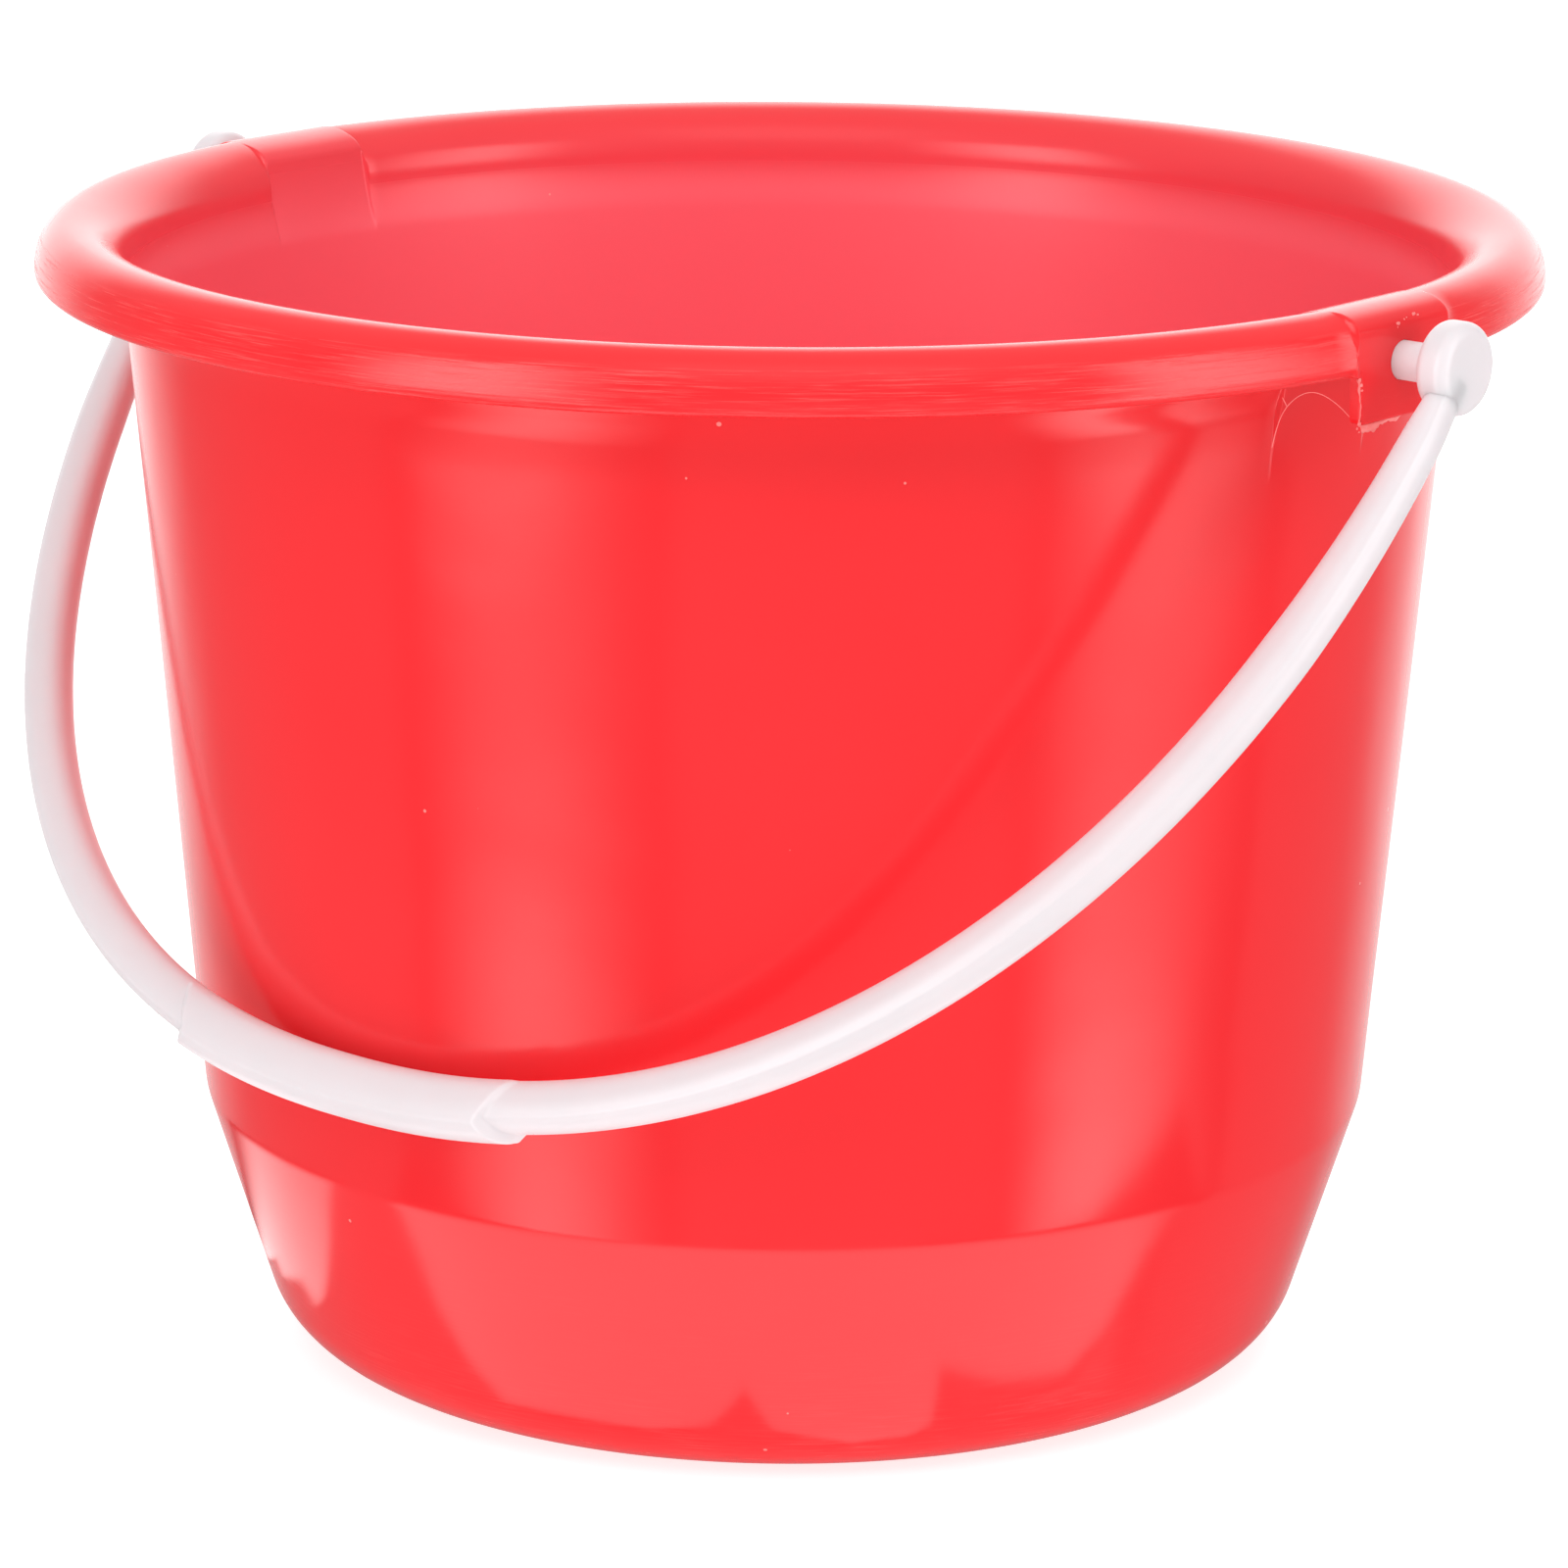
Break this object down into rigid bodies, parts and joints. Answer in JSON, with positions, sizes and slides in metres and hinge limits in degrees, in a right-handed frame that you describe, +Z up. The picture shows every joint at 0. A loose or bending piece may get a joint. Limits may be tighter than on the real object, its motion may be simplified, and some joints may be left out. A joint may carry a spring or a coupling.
{
  "type": "wash bucket",
  "caption": "Round tapered plastic bucket with a rolled rim and a swinging carry bail, open at the top and standing on a flat base.",
  "frame": {"origin": "middle of the underside, on the floor plane", "axes": "+X along the line through the two bail pins, +Z up out of the mouth, and the bail hangs towards -Y at rest"},
  "size_m": [0.3086, 0.28, 0.215],
  "materials": {
    "red_polypropylene": "glossy injection moulding, slightly translucent, red all through",
    "natural_polyethylene": "satin injection moulding, milky and slightly translucent"
  },
  "bodies": {
    "tub": {"tub": "red_polypropylene"},
    "bail": {"bail": "natural_polyethylene"}
  },
  "joints": [
    {"name": "BAIL_JOINT", "type": "hinge", "parent": "tub", "child": "bail", "pos_m": [0, 0, 0.2055], "axis": [-1, 0, 0], "range_deg": [0, 276.5]}
  ]
}
